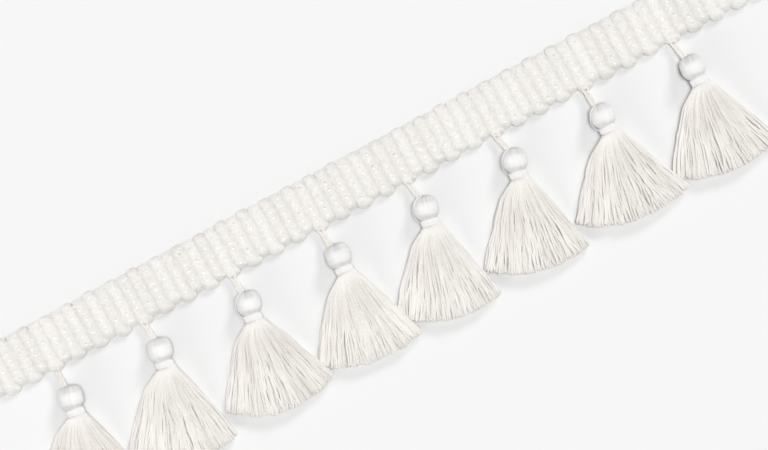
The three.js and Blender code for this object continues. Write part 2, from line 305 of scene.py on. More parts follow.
def add_piece(name, groups, finish, node):
    """Joins groups of tubes into one mesh that rides on the root body and stands for the named node."""
    strips = [len(group.rings) * strips_of(group) for group in groups]
    made = []
    first = 0
    for number, group in enumerate(groups):
        made.append(joined(group, first, sum(strips[:number]), sum(strips)))
        first += len(made[-1]["points"])
    whole = {key: np.concatenate([part[key] for part in made]) for key in made[0]}

    mesh = bpy.data.meshes.new(name)
    mesh.vertices.add(len(whole["points"]))
    mesh.vertices.foreach_set("co", whole["points"].astype(np.float32).ravel())
    mesh.loops.add(len(whole["corners"]))
    mesh.loops.foreach_set("vertex_index", whole["corners"].astype(np.int32))
    mesh.polygons.add(len(whole["sizes"]))
    starts = np.cumsum(whole["sizes"]) - whole["sizes"]
    mesh.polygons.foreach_set("loop_start", starts.astype(np.int32))
    mesh.update(calc_edges=True)
    mesh.shade_smooth()
    for layer in ("threads", "OFBake"):
        map_layer = mesh.uv_layers.new(name=layer, do_init=False)
        map_layer.uv.foreach_set("vector", whole[layer].astype(np.float32).ravel())
    for layer in ("shade", "hollow"):
        attribute = mesh.attributes.new(layer, "FLOAT", "POINT")
        attribute.data.foreach_set("value", whole[layer].astype(np.float32))
    if mesh.validate():
        raise RuntimeError(f"{name} has faces that Blender had to mend")
    mesh.materials.append(finish)

    piece = bpy.data.objects.new(name, mesh)
    bpy.context.scene.collection.objects.link(piece)
    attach(piece, "root")
    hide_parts(node)
    return piece


def add_to_tassels(name, make, finish, node, settings, seed):
    """Adds a piece to each tassel. make gives its groups of tubes, with chance that is seeded by number."""
    for number in range(len(TASSELS)):
        groups = make(number, settings, np.random.default_rng(seed + number))
        add_piece(f"{name}_{number + 1}", groups, finish, f"tassel_{number + 1}_{node}")


def add_node(tree, kind, inputs=None, **settings):
    """Adds a shader node. inputs maps a socket's name or number to a value or to an output to link."""
    node = tree.nodes.new(kind)
    for key, value in settings.items():
        setattr(node, key, value)
    for key, value in (inputs or {}).items():
        if isinstance(value, bpy.types.NodeSocket):
            tree.links.new(value, node.inputs[key])
        else:
            node.inputs[key].default_value = value
    return node


def work_out(tree, operation, first, second=0.0, third=0.0):
    """The output of a Math node."""
    inputs = {0: first, 1: second, 2: third}
    return add_node(tree, "ShaderNodeMath", inputs, operation=operation).outputs[0]


class ThreadLook(NamedTuple):
    """How the threads of one make take the light.

    pitch is millimetres along for one turn of the twist, and plies how many lie side by side. relief is how
    much they and their filaments stand out, streaks how many filaments go around, streak how many
    millimetres one shows, clouds how many clouds there are in a metre, and middle and contrast how they mix
    the colours. lift turns the surface's normal up, as light that goes through fine yarns comes out on all
    their sides.
    """

    pitch: float
    plies: float
    relief: float
    roughness: float
    streaks: float
    streak: float = 4.5
    clouds: float = 160.0
    middle: float = 0.52
    contrast: float = 1.0
    lift: float = 0.0


GIMP_LOOK = ThreadLook(
    pitch=0.27,
    plies=1.0,
    relief=0.35,
    roughness=0.45,
    streaks=26.0,
    streak=1.0,
    clouds=900.0,
    middle=0.8,
    contrast=1.2,
    lift=1.1,
)
WARP_LOOK = ThreadLook(pitch=0.5, plies=2.0, relief=0.3, roughness=0.35, streaks=4.0, middle=0.95, lift=0.8)
HANGER_LOOK = ThreadLook(pitch=0.8, plies=2.0, relief=0.3, roughness=0.45, streaks=5.0, lift=0.6)
HEAD_LOOK = ThreadLook(
    pitch=1.4,
    plies=2.0,
    relief=0.2,
    roughness=0.4,
    streaks=260.0,
    middle=0.98,
    contrast=0.25,
    lift=1.9,
)
BINDING_LOOK = ThreadLook(
    pitch=0.6,
    plies=2.0,
    relief=0.25,
    roughness=0.4,
    streaks=5.0,
    middle=0.9,
    lift=0.8,
)
SKIRT_LOOK = ThreadLook(pitch=1.3, plies=2.0, relief=0.3, roughness=0.42, streaks=5.0, lift=0.6)

# How far each part of a thread's finish takes its tone from the dark colour to the light one. The twist's
# share is painted shade in its grooves, and the last one is painted shade
SHADE_TONE = 0.3
FILAMENT_TONE = 0.9
CLOUD_TONE = 0.5
TWIST_PAINTED_SHADE = 0.1
PAINTED_SHADE_TONE = -0.9
# How far the filaments change the gloss, and how high they and the twist stand
FILAMENT_GLOSS = 0.22
FILAMENT_HEIGHT = 0.8
TWIST_HEIGHT = 0.5
BUMP_DEPTH = 0.12 * MM
# How far apart two shades are in the noise that makes the filaments
SHADE_STEP = 40.0


def thread_finish(name, light, dark, look):
    """A satin thread's finish: twisted or wrapped plies, fine filaments along it, and a shade of its own.

    A sine of millimetres along over pitch plus turns around times plies gives the twist, and a noise drawn
    out along the thread gives its filaments. Both raise the surface and lighten it where it stands up: for
    the twist that is painted shade in its grooves, for the filaments streaks of their own tone. A wide
    noise clouds it. The colour is mixed from dark to light around the share middle, and the hollow
    attribute paints shade by drawing it towards the dark colour.
    """
    material = bpy.data.materials.new(name)
    material.use_nodes = True
    tree = material.node_tree
    tree.nodes.clear()
    threads = add_node(tree, "ShaderNodeUVMap", uv_map="threads").outputs["UV"]
    split = add_node(tree, "ShaderNodeSeparateXYZ", {0: threads})
    along, around = split.outputs[0], split.outputs[1]
    shade = add_node(tree, "ShaderNodeAttribute", attribute_name="shade").outputs["Fac"]
    # hollow is painted shade: seams, holes, grooves and creases drawn darker where shade falls
    hollow = add_node(tree, "ShaderNodeAttribute", attribute_name="hollow").outputs["Fac"]

    laps_along = work_out(tree, "DIVIDE", along, look.pitch)
    laps = work_out(tree, "MULTIPLY_ADD", around, look.plies, laps_along)
    twist = work_out(tree, "SINE", work_out(tree, "MULTIPLY", laps, FULL_TURN))
    drawn_out = {
        0: work_out(tree, "DIVIDE", along, look.streak),
        1: work_out(tree, "MULTIPLY", around, look.streaks),
        2: work_out(tree, "MULTIPLY", shade, SHADE_STEP),
    }
    drawn = add_node(tree, "ShaderNodeCombineXYZ", drawn_out).outputs[0]
    fine_noise = {"Vector": drawn, "Scale": 1.0, "Detail": 3.0}
    filament = add_node(tree, "ShaderNodeTexNoise", fine_noise).outputs["Fac"]
    place = add_node(tree, "ShaderNodeTexCoord").outputs["Object"]
    wide_noise = {"Vector": place, "Scale": look.clouds, "Detail": 2.0}
    cloud = add_node(tree, "ShaderNodeTexNoise", wide_noise).outputs["Fac"]

    tone = look.middle
    for value, share in (
        (shade, SHADE_TONE * look.contrast),
        (work_out(tree, "SUBTRACT", filament, 0.5), FILAMENT_TONE * look.contrast),
        (work_out(tree, "SUBTRACT", cloud, 0.5), CLOUD_TONE * look.contrast),
        (twist, TWIST_PAINTED_SHADE * look.contrast),
        (hollow, PAINTED_SHADE_TONE),
    ):
        tone = work_out(tree, "MULTIPLY_ADD", value, share, tone)
    mixed = {0: tone, 6: (*dark, 1.0), 7: (*light, 1.0)}
    colour = add_node(tree, "ShaderNodeMix", mixed, data_type="RGBA", clamp_factor=True).outputs[2]

    gloss = work_out(tree, "MULTIPLY_ADD", filament, FILAMENT_GLOSS, look.roughness - FILAMENT_GLOSS / 2)
    twist_height = work_out(tree, "MULTIPLY", twist, TWIST_HEIGHT)
    height = work_out(tree, "MULTIPLY_ADD", filament, FILAMENT_HEIGHT, twist_height)
    relief = {"Strength": look.relief, "Distance": BUMP_DEPTH, "Height": height}
    bump = add_node(tree, "ShaderNodeBump", relief).outputs[0]
    lifted = add_node(tree, "ShaderNodeVectorMath", {0: bump, 1: (0.0, 0.0, look.lift)}).outputs[0]
    normal = add_node(tree, "ShaderNodeVectorMath", {0: lifted}, operation="NORMALIZE").outputs[0]
    shader = add_node(
        tree,
        "ShaderNodeBsdfPrincipled",
        {
            "Base Color": colour,
            "Roughness": gloss,
            "Normal": normal,
            "Diffuse Roughness": 1.0,
            "Specular IOR Level": 0.4,
            "Sheen Weight": 0.3,
            "Sheen Roughness": 0.5,
        },
    )
    add_node(tree, "ShaderNodeOutputMaterial", {"Surface": shader.outputs[0]})
    return material


class RibPlace(NamedTuple):
    """A place along a rib in millimetres: how far it is from the braid's middle towards the rib's loop, and
    the rib's half width and top there.
    """

    toward: float
    wide: float
    top: float


# From a rib's short end to its loop. Even ribs have narrow loops at the upper edge.
UPPER_RIB = [
    RibPlace(toward=-6.75, wide=0.90, top=0.20),
    RibPlace(toward=-6.52, wide=1.40, top=0.66),
    RibPlace(toward=-6.10, wide=1.72, top=1.34),
    RibPlace(toward=-5.50, wide=1.90, top=2.00),
    RibPlace(toward=-4.60, wide=1.90, top=2.36),
    RibPlace(toward=-3.80, wide=1.90, top=2.36),
    RibPlace(toward=4.40, wide=1.90, top=2.36),
    RibPlace(toward=5.20, wide=1.90, top=2.36),
    RibPlace(toward=6.00, wide=1.90, top=2.34),
    RibPlace(toward=6.80, wide=1.88, top=2.24),
    RibPlace(toward=7.50, wide=1.80, top=1.84),
    RibPlace(toward=8.00, wide=1.56, top=1.34),
    RibPlace(toward=8.28, wide=1.15, top=0.80),
    RibPlace(toward=8.44, wide=0.65, top=0.34),
]
# Odd ribs have wide loops at the lower edge
LOWER_RIB = [
    RibPlace(toward=-8.10, wide=1.30, top=0.34),
    RibPlace(toward=-7.90, wide=1.78, top=0.84),
    RibPlace(toward=-7.40, wide=1.92, top=1.48),
    RibPlace(toward=-6.70, wide=1.92, top=1.92),
    RibPlace(toward=-5.80, wide=1.90, top=2.26),
    RibPlace(toward=-4.80, wide=1.90, top=2.36),
    RibPlace(toward=-4.00, wide=1.90, top=2.36),
    RibPlace(toward=3.90, wide=1.90, top=2.36),
    RibPlace(toward=4.60, wide=1.90, top=2.36),
    RibPlace(toward=5.30, wide=1.98, top=2.32),
    RibPlace(toward=6.10, wide=2.26, top=2.16),
    RibPlace(toward=6.80, wide=2.22, top=1.72),
    RibPlace(toward=7.30, wide=1.85, top=1.22),
    RibPlace(toward=7.66, wide=1.25, top=0.70),
    RibPlace(toward=7.86, wide=0.65, top=0.26),
]
# The row of both tables from which on a rib's neighbours press against it
FIRST_PRESSED = 3

# Points across a rib's top in half widths, and around its foot in half widths and heights of its edge
ACROSS_TOP = np.array([1, 0.95, 0.8, 0.55, 0.3, 0.15, 0.06, -0.06, -0.15, -0.3, -0.55, -0.8, -0.95, -1])
FOOT = np.array([(-0.98, 0.35), (-0.6, 0.04), (0.6, 0.04), (0.98, 0.35)])
# The stitched line's half width, in half widths of a rib
LINE_WIDTH = 0.12

# Shares of a rib's rows, and the shares of its length that they reach, since its ends need more rows
ROW_SHARES = [0, 0.13, 0.86, 1]
LENGTH_SHARES = [0, 0.075, 0.91, 1]
# Between which distances from the braid's middle a rib turns into a loop, and its neighbours let it go
INTO_LOOP = (4.5 * MM, 7.5 * MM)
UPPER_LET_GO = (6.6 * MM, 8.3 * MM)
LOWER_LET_GO = (5.0 * MM, 7.0 * MM)
# How much ribs differ: shares of the unevenness along X, of a loop's width and of a rib's height
RIB_WANDER = 0.3
LOOP_PLUMPNESS = 0.05
RIB_PLUMPNESS = 0.012
# A stitch's hole: how rare deep ones are as a power, its mean way from the stitch, and its half length
HOLE_RARITY = 1.5
HOLE_ASIDE = 0.3 * MM
HOLE_LENGTH = 0.24 * MM
# Painted shade on an upper loop's right side and end: across it in half widths, from the braid's middle
SHADED_SIDE = (0.3, 0.95)
SHADED_SIDE_FROM = (5.0 * MM, 6.5 * MM)
SHADED_END = (-0.6, 0.2)
SHADED_END_FROM = (7.6 * MM, 8.2 * MM)
LOOP_SHADE = 0.3
# How much a rib's own shade differs, and how much darker upper ribs and lighter lower ones are
RIB_SHADE = 0.25
UPPER_SHADE = 0.04


def rib_middle(rib):
    """The middle of a rib along X."""
    return BRAID_LOW[0] + (rib + 0.5) * RIB_PITCH


def warp_row(number, settings):
    """Where a row of warp stitches is across the braid, counted from the lower edge."""
    return settings.warp_middle + (number - (settings.warp_rows - 1) / 2) * settings.warp_spacing


def stitch_holes(y, settings, rng):
    """How deep the hole by the nearest stitch is along ribs, from 0 to 1: a bell curve of chance height."""
    row = np.round((y - warp_row(0, settings)) / settings.warp_spacing)
    row = np.clip(row, 0, settings.warp_rows - 1).astype(int)
    shape = (len(y), settings.warp_rows)
    strength = np.take_along_axis(rng.random(shape) ** HOLE_RARITY, row, axis=1)
    aside = np.take_along_axis(rng.uniform(-1, 1, shape), row, axis=1)
    from_hole = y - warp_row(row, settings) + HOLE_ASIDE * (aside - 1)
    return strength * bell(from_hole, HOLE_LENGTH)


def shaded_loop(toward):
    """Where an upper loop gets painted shade, from 0 to 1: eased curves across and along its side and end.
    """
    side = ease(ACROSS_TOP, *SHADED_SIDE) * ease(toward, *SHADED_SIDE_FROM)[:, None]
    end = ease(ACROSS_TOP, *SHADED_END) * ease(toward, *SHADED_END_FROM)[:, None]
    return np.maximum(side, end)


def gimp_ribs(ribs, settings, rng):
    """Ribs of one kind, each a flat-footed tongue across the braid with a loop at one end.

    Half widths and tops are the smooth cubic through the table's places. Where ribs press against each
    other the top falls to their seam by the third power of the place across, and past there it rounds off
    by the square root of what the fourth power leaves. A bell curve draws in the stitched middle line, and
    bells in both directions are its holes.
    """
    upper = ribs[0] % 2 == 0
    side = 1 if upper else -1
    table = np.array(UPPER_RIB if upper else LOWER_RIB) * MM
    shift, lean, reach, plump, tone = rng.uniform(-1, 1, (5, len(ribs), 1))
    share = np.interp(np.linspace(0, 1, settings.rib_rows), ROW_SHARES, LENGTH_SHARES)
    toward = table[0, 0] + share * (table[-1, 0] - table[0, 0])
    wide, top = smooth(table[:, 1:], table[:, 0], toward).T
    looped = ease(toward, *INTO_LOOP)
    let_go = ease(toward, *(UPPER_LET_GO if upper else LOWER_LET_GO))
    pressed = ease(toward, table[0, 0], table[FIRST_PRESSED, 0]) * (1 - let_go)

    y = side * (toward + looped * reach * settings.unevenness)
    lean_by = -settings.upper_lean if upper else settings.lower_lean
    x = rib_middle(np.array(ribs))[:, None] + settings.rib_shift + lean_by * looped
    x = x + settings.unevenness * RIB_WANDER * (shift + lean * toward / HALF_BRAID)
    wide = wide * (1 + LOOP_PLUMPNESS * plump * looped)
    top = top * (1 + RIB_PLUMPNESS * plump * pressed)

    edge = top / 2 + pressed * (top / 2 - settings.seam)
    held = pressed[:, None]
    crown = held * (1 - np.abs(ACROSS_TOP) ** 3) + (1 - held) * np.sqrt(1 - ACROSS_TOP**4)
    line = held * bell(ACROSS_TOP, LINE_WIDTH)
    hole = stitch_holes(y, settings, rng)[..., None] * line
    over = edge[..., None] + (top - edge)[..., None] * crown
    over = over - settings.middle_seam * line - settings.hole * hole
    across = np.concatenate([ACROSS_TOP, FOOT[:, 0]]) * wide[..., None]
    up = np.concatenate([over, FOOT[:, 1] * edge[..., None]], axis=-1)
    rings = np.stack([x[..., None] + across, np.broadcast_to(y[..., None], up.shape), up], axis=-1)

    # Painted shade in the stitch holes, which are real dips too, along the seams and on the upper loops
    from_seam = (1 - np.abs(ACROSS_TOP)) * wide[..., None]
    hollow = np.maximum(hole, settings.seam_shade * held * bell(from_seam, settings.seam_width))
    if upper:
        hollow = np.maximum(hollow, LOOP_SHADE * shaded_loop(toward))
    hollow = np.concatenate([hollow, np.zeros((*y.shape, len(FOOT)))], axis=-1)
    shade = RIB_SHADE * tone[..., None] - UPPER_SHADE * side
    outward = slice(None, None, side)
    return Tubes(rings[:, :, outward], shade, settings.rib_rows - 1, hollow[:, :, outward])


# Points of a warp thread over one rib, and a stitch's half length, in rib pitches from the rib's middle
WARP_POINTS = np.array([-0.5, -0.3, -0.19, -0.12, -0.06, 0.0, 0.06, 0.12, 0.19, 0.3])
STITCH_REACH = 0.11
# The upper thread's height inside the ribs, and what the heights of an upper and a lower thread add up to
INSIDE_HEIGHT = 1.9 * MM
PAIR_HEIGHT = 2.44 * MM
# How stitches lie: how far they sink, rise by chance, lie aside, sway by chance, and slant in a rib pitch
STITCH_SINK = 0.04 * MM
STITCH_RISE = 0.2 * MM
STITCH_ASIDE = 0.15 * MM
STITCH_SWAY = 0.4 * MM
STITCH_SLANT = 1.8 * MM
# How far inside the braid's ends the threads end, and how wide and high they are in half thicknesses
WARP_ENDS = 0.3 * MM
WARP_WIDE = 1.4
WARP_HIGH = 0.8
WARP_SHADE = 0.6
# The lowest that a lower thread's middle lies, in half thicknesses
WARP_CLEARANCE = 1.3
RIBS_PER_STRIP = 10


def warp_threads(settings, rng):
    """Pairs of fine threads along the braid: one through the top of each rib and one through its foot.

    A thread runs inside the ribs and stands up in the middle of each as a short stitch, a flat bell curve
    of the fourth power of the distance from it. An upper stitch slants to one side or the other. The lower
    thread's heights mirror the upper one's.
    """
    x = (rib_middle(np.arange(RIB_COUNT))[:, None] + RIB_PITCH * WARP_POINTS).ravel() + settings.rib_shift
    stand = np.tile(bell(WARP_POINTS, STITCH_REACH, power=4), RIB_COUNT)
    row = np.arange(settings.warp_rows)
    sway, rise = rng.uniform(-1, 1, (2, 2, len(row), RIB_COUNT)).repeat(len(WARP_POINTS), axis=3)
    stitch = settings.stitch_height - STITCH_SINK + STITCH_RISE * rise[0]
    over = INSIDE_HEIGHT + stand * (stitch - INSIDE_HEIGHT)
    under = np.maximum(PAIR_HEIGHT - over, WARP_CLEARANCE * settings.warp_radius)
    slant = np.tile(WARP_POINTS, RIB_COUNT) * STITCH_SLANT * np.sign(sway[0])
    y = warp_row(row, settings)[:, None] + STITCH_ASIDE + STITCH_SWAY * sway
    y = np.stack([y[0] + slant, y[1]])
    z = np.stack([over, under])
    path = np.stack([np.broadcast_to(x, y.shape), y, z], axis=-1).reshape(2 * len(row), -1, 3)
    path = path[:, (x > BRAID_LOW[0] + WARP_ENDS) & (x < BRAID_HIGH[0] - WARP_ENDS)]
    girth = np.broadcast_to(settings.warp_radius * rounded(path.shape[1]), path.shape[:2])
    rings = carry(path, oval(WARP_WIDE * girth, WARP_HIGH * girth, settings.warp_sides))
    shade = rng.uniform(-WARP_SHADE, WARP_SHADE, (2 * len(row), 1, 1))
    return Tubes(rings, shade, RIBS_PER_STRIP * len(WARP_POINTS))


def root_of(number):
    """The place on the braid's lower edge where a tassel's hanger leaves it."""
    rib = FIRST_TASSEL_RIB + RIBS_PER_TASSEL * number
    return np.array([rib_middle(rib), -HALF_BRAID, 0.0])


def crown_of(number):
    """The level place of a tassel's crown, a hanger's length on from its root."""
    return root_of(number) + HANGER_LENGTH * heading_to(TASSELS[number].swing)


def head_middle(number, down):
    """Points on the middle line of a tassel's head and neck.

    The line lies a little to the left of the crown, and half as far where the neck ends.
    """
    tilt = TASSELS[number].tilt
    aside = HEAD_ASIDE * (1 - 0.5 * ease(down, 0.9 * HEAD_LENGTH, SKIRT_AT))
    level = crown_of(number) + HEAD_RADIUS * UP
    return level + down[:, None] * heading_to(tilt) - aside[:, None] * beside(tilt)


class HangerBend(NamedTuple):
    """A point on the left half of a hanger's loop in millimetres.

    It is given across the loop, down from the braid's lower edge, and up from the floor.
    """

    across: float
    down: float
    up: float


# From inside the tassel's crown, up beside the braid's loop, and over it to the middle of the bar
HALF_HANGER = [
    HangerBend(across=-0.42, down=6.3, up=3.85),
    HangerBend(across=-0.42, down=5.0, up=3.80),
    HangerBend(across=-0.42, down=3.4, up=3.20),
    HangerBend(across=-0.42, down=1.6, up=2.10),
    HangerBend(across=-0.40, down=0.45, up=1.60),
    HangerBend(across=-0.50, down=-0.15, up=1.55),
    HangerBend(across=-0.75, down=-0.65, up=1.75),
    HangerBend(across=-0.85, down=-1.10, up=1.95),
    HangerBend(across=-0.60, down=-1.42, up=2.10),
    HangerBend(across=0.00, down=-1.50, up=2.15),
]
# Between which distances up over the braid's edge the strands turn into the bar
INTO_BAR = (-0.6 * MM, 0.9 * MM)
# Between which distances below the edge the hanger turns towards the crown
INTO_SWING = (-0.5 * MM, 1.5 * MM)
PLIES = 3
# In half thicknesses of a ply: from a strand's middle to a ply's, and from one ply of the bar to the next
PLY_OUT = 1.15
BAR_STEP = 1.9
# How far down the bar goes for its way across
BAR_SLANT = 0.1
# How far the plies' upper sides lean out at a distance from the loop's middle, and in proportion before it
BEND_LEAN = math.radians(75)
BEND_OUT = 1.2 * MM
# The range of the plies' shades, and the points around a fine thread
PLY_SHADES = (-0.5, 0.7)
THREAD_SIDES = 6


def hanger_loop(number, settings, rng):
    """Three plies that hang one tassel: twisted strands from its crown, and bars over the braid's loop.

    The loop's middle line is the smooth cubic through the table's bends and their mirror image, turned and
    stretched below the braid to meet the crown beside its middle. Each ply turns around it on a helix along
    the strands, and lies beside the others on the bar.
    """
    tassel = TASSELS[number]
    root = root_of(number)
    seat = crown_of(number) - HANGER_ASIDE * beside(tassel.tilt) - root
    way = math.degrees(math.atan2(seat[0], -seat[1]))
    half = np.array(HALF_HANGER) * MM
    half[:, 1] *= np.where(half[:, 1] > 0, np.linalg.norm(seat) / HANGER_LENGTH, 1)
    middle = spline(np.concatenate([half, half[-2::-1] * [-1, 1, 1]]), settings.hanger_rows)
    bar = ease(-middle[:, 1], *INTO_BAR)
    ply = np.arange(PLIES)[:, None]
    phase = FULL_TURN * (lengths(middle) / settings.hanger_twist + ply / PLIES + rng.random())
    out = (1 - bar) * settings.hanger_ply * PLY_OUT
    across = middle[:, 0] + out * np.cos(phase)
    up = middle[:, 2] + out * np.sin(phase)
    down = middle[:, 1] + bar * ((ply - 1) * BAR_STEP * settings.hanger_ply + BAR_SLANT * middle[:, 0])
    turn = way * ease(down, *INTO_SWING)
    level = across[..., None] * beside(turn) + down[..., None] * heading_to(turn)
    path = root + level + up[..., None] * UP
    lean = BEND_LEAN * np.clip(middle[:, 0] / BEND_OUT, -1, 1)
    above = np.sin(lean)[:, None] * beside(turn) + np.cos(lean)[:, None] * UP
    girth = np.broadcast_to(settings.hanger_ply * rounded(len(middle)), path.shape[:2])
    rings = carry(path, oval(girth, girth, THREAD_SIDES), above)
    shade = rng.uniform(*PLY_SHADES, (PLIES, 1, 1))
    return [Tubes(rings, shade, len(middle) - 1)]


class HeadPlace(NamedTuple):
    """A place on a tassel head's outline: down in head lengths, and girth in head radii."""

    down: float
    girth: float


# From the crown to inside the skirt's yarns
HEAD_OUTLINE = [
    HeadPlace(down=-0.035, girth=0.02),
    HeadPlace(down=-0.02, girth=0.18),
    HeadPlace(down=0.0, girth=0.36),
    HeadPlace(down=0.04, girth=0.62),
    HeadPlace(down=0.13, girth=0.85),
    HeadPlace(down=0.27, girth=0.96),
    HeadPlace(down=0.42, girth=1.0),
    HeadPlace(down=0.66, girth=1.0),
    HeadPlace(down=0.86, girth=0.88),
    HeadPlace(down=1.0, girth=0.66),
    HeadPlace(down=1.07, girth=0.60),
    HeadPlace(down=1.3, girth=0.58),
    HeadPlace(down=1.5, girth=0.45),
    HeadPlace(down=1.7, girth=0.1),
]
# How a head's yarns differ: in width, in how far they sink as a share of the radius, and in shade
YARN_WIDTHS = (0.75, 1.25)
YARN_SINK = 0.024
YARN_SHADES = (-0.7, 0.7)
# How much of the half circle across a yarn shows
YARN_ROUND = 0.94
# How far a head's yarns lean around it in radians: steadily, in a slow wave, and each by chance
HEAD_LEAN = 0.16
HEAD_WAVE = 0.05
HEAD_WAVE_PACE = 4
YARN_WAVE = 0.03
# Where a head gets painted shade, in head lengths: about its tied end, and over its crown's top side
TIED_AT = 0.92
TIED_SPAN = 0.13
CROWN_FADES = (0.2, 0.46)
# How much painted shade it has between its yarns, at its tied end and over its crown, and how much
# the yarns differ in it
GROOVE_PAINTED_SHADE = 0.05
TIED_PAINTED_SHADE = 0.3
CROWN_PAINTED_SHADE = 0.5
PAINTED_SHADE_SPREAD = (0.4, 1.2)


def tassel_head(number, settings, rng):
    """The yarns over one tassel's head, drawn in at the neck: a turned form with a ridge for each yarn.

    The radius is the outline's, less a share of half a yarn's width that follows a half circle across each
    yarn. The yarns' widths differ, and they lean around the head as they go down.
    """
    tilt = TASSELS[number].tilt
    outline = np.array(HEAD_OUTLINE)
    places = lengths(outline * [HEAD_LENGTH / HEAD_RADIUS, 1])
    share, girth = smooth(outline, places, np.linspace(0, places[-1], settings.head_rows)).T
    down = share * HEAD_LENGTH
    radius = np.minimum(girth, 1) * HEAD_RADIUS
    yarns, fine = settings.head_yarns, settings.sides_per_yarn

    def over_yarn(values):
        return np.repeat(values, fine)

    widths = rng.uniform(*YARN_WIDTHS, yarns)
    widths *= FULL_TURN / widths.sum()
    inside = np.arange(fine) / fine
    turn = ((np.cumsum(widths) - widths)[:, None] + widths[:, None] * inside).ravel()
    ridge = np.sqrt(1 - (YARN_ROUND * (2 * inside - 1)) ** 2) - 1
    relief = (0.5 * widths[:, None] * ridge).ravel() + over_yarn(rng.uniform(-YARN_SINK, 0, yarns))
    lean = HEAD_LEAN * ease(share, 0, 1) + HEAD_WAVE * np.sin(HEAD_WAVE_PACE * share)
    wave = over_yarn(rng.uniform(-YARN_WAVE, YARN_WAVE, yarns))
    angle = turn + lean[:, None] + wave * np.sin(math.pi * np.clip(share, 0, 1))[:, None]
    out = radius[:, None] * (1 + relief)
    rings = (
        head_middle(number, down)[:, None]
        + (out * np.cos(angle))[..., None] * beside(tilt)
        + (out * np.sin(angle))[..., None] * UP
    )
    shade = over_yarn(rng.uniform(*YARN_SHADES, yarns))
    # Painted shade: darker between the yarns, about the tied end, and over the top side of the crown
    groove_painted_shade = np.tile((ridge / ridge.min()) ** 2, yarns)
    tied_painted_shade = bell(share - TIED_AT, TIED_SPAN)[:, None]
    crown_painted_shade = (1 - ease(share, *CROWN_FADES))[:, None] * np.maximum(np.sin(angle), 0)
    uneven = over_yarn(rng.uniform(*PAINTED_SHADE_SPREAD, yarns))
    hollow = GROOVE_PAINTED_SHADE * groove_painted_shade + (TIED_PAINTED_SHADE * tied_painted_shade + CROWN_PAINTED_SHADE * crown_painted_shade) * uneven
    return Tubes(rings[None], shade, settings.head_rows, hollow)


# A stray thread by a head in millimetres: down from the crown, across to the left and up
LOOSE_THREAD = [
    (-0.3, 0.9, 5.6),
    (0.9, 2.9, 5.7),
    (2.6, 4.0, 5.0),
    (4.6, 4.3, 4.4),
    (6.2, 3.8, 4.2),
    (7.4, 2.7, 4.6),
    (8.4, 1.9, 5.0),
]
LOOSE_ROWS = 40
LOOSE_RADIUS = 0.15 * MM
LOOSE_SHADE = 0.8


def loose_thread(number):
    """A thread that strays down the left side of a head: the smooth cubic through the table."""
    tilt = TASSELS[number].tilt
    down, left, up = spline(np.array(LOOSE_THREAD) * MM, LOOSE_ROWS).T[..., None]
    path = crown_of(number) + down * heading_to(tilt) - left * beside(tilt) + up * UP
    girth = LOOSE_RADIUS * rounded(LOOSE_ROWS)
    rings = carry(path, oval(girth, girth, THREAD_SIDES))
    return Tubes(rings[None], np.array(LOOSE_SHADE), LOOSE_ROWS - 1)


def head_with_stray(number, settings, rng):
    """One tassel's head, and the thread that strays beside it if there is one."""
    head = tassel_head(number, settings, rng)
    return [head, loose_thread(number)] if TASSELS[number].loose else [head]


# A neck's winding: rings in one turn, what is left free of the neck's length at its top and in all, and how
# much slimmer it is at its ends
TURN_ROWS = 30
WOUND_FROM = 0.22 * MM
UNWOUND = 0.4 * MM
WINDING_FALL = 0.12 * MM
BINDING_SHADE = 0.6


def neck_binding(number, settings, rng):
    """A thread wound around a tassel's neck: a helix of even turns whose radius swells in its middle."""
    turns = settings.binding_turns
    rows = turns * TURN_ROWS + 1
    share = np.linspace(0, 1, rows)
    angle = FULL_TURN * (turns * share + rng.random())
    down = HEAD_LENGTH + WOUND_FROM + (NECK_LENGTH - UNWOUND) * share
    radius = settings.binding_radius - settings.binding_thread - WINDING_FALL * (2 * share - 1) ** 2
    out = np.cos(angle)[:, None] * beside(TASSELS[number].tilt) + np.sin(angle)[:, None] * UP
    path = head_middle(number, down) + radius[:, None] * out
    girth = settings.binding_thread * rounded(rows)
    rings = carry(path, oval(girth, girth, THREAD_SIDES), out)
    return [Tubes(rings[None], np.array(BINDING_SHADE), TURN_ROWS)]


# How a skirt's locks and yarns differ: in width, in place across the fan, in level as shares of the skirt's
# depth, in reach as shares of its length, and in shade
LOCK_WIDTHS = (0.5, 1.5)
FAN_JITTER = 0.02
LOCK_LEVEL = 0.09
YARN_LEVEL = 0.06
MEAN_REACH = 0.985
LOCK_REACH = 0.015
YARN_REACH = 0.018
LOCK_SHADE = 0.45
YARN_SHADE = 0.55
# Where along the skirt its locks part, over which share of it, and how far they part again at the tips
PARTED_AT = (0.3, 0.9)
PARTED_SPAN = (0.07, 0.2)
TIP_PARTING = 0.5
TIPS_FROM = (0.7, 1.0)
# Waves along a lock and along its yarns, and how many yarns cross their neighbours, and how far
LOCK_WAVES = 1.1
YARN_WAVES = (1.2, 3.4)
CROSSING_YARNS = 0.2
CROSSING_REACH = 0.16
# How far locks and yarns sway aside and up, and how far yarns stand out below the neck
LOCK_SWAY = 0.38 * MM
YARN_SWAY = 0.3 * MM
YARN_RISE = 0.15 * MM
NECK_RISE = 0.2 * MM


class YarnLay(NamedTuple):
    """What chance gives each yarn of a skirt, as columns with a row for each yarn.

    fan and lock_middle are places across the fan, from -1 to 1, level is from 0 at the lowest to 1, and
    layer the same without chance. reach is the share of the skirt's length that it has. The rest are
    shares, waves and where they start.
    """

    lock_middle: np.ndarray
    fan: np.ndarray
    layer: np.ndarray
    level: np.ndarray
    reach: np.ndarray
    shade: np.ndarray
    parted: np.ndarray
    tip_parted: np.ndarray
    parted_at: np.ndarray
    parted_span: np.ndarray
    lock_wave: np.ndarray
    lock_start: np.ndarray
    wave: np.ndarray
    wave_up: np.ndarray
    start: np.ndarray
    pace: np.ndarray
    crossing: np.ndarray


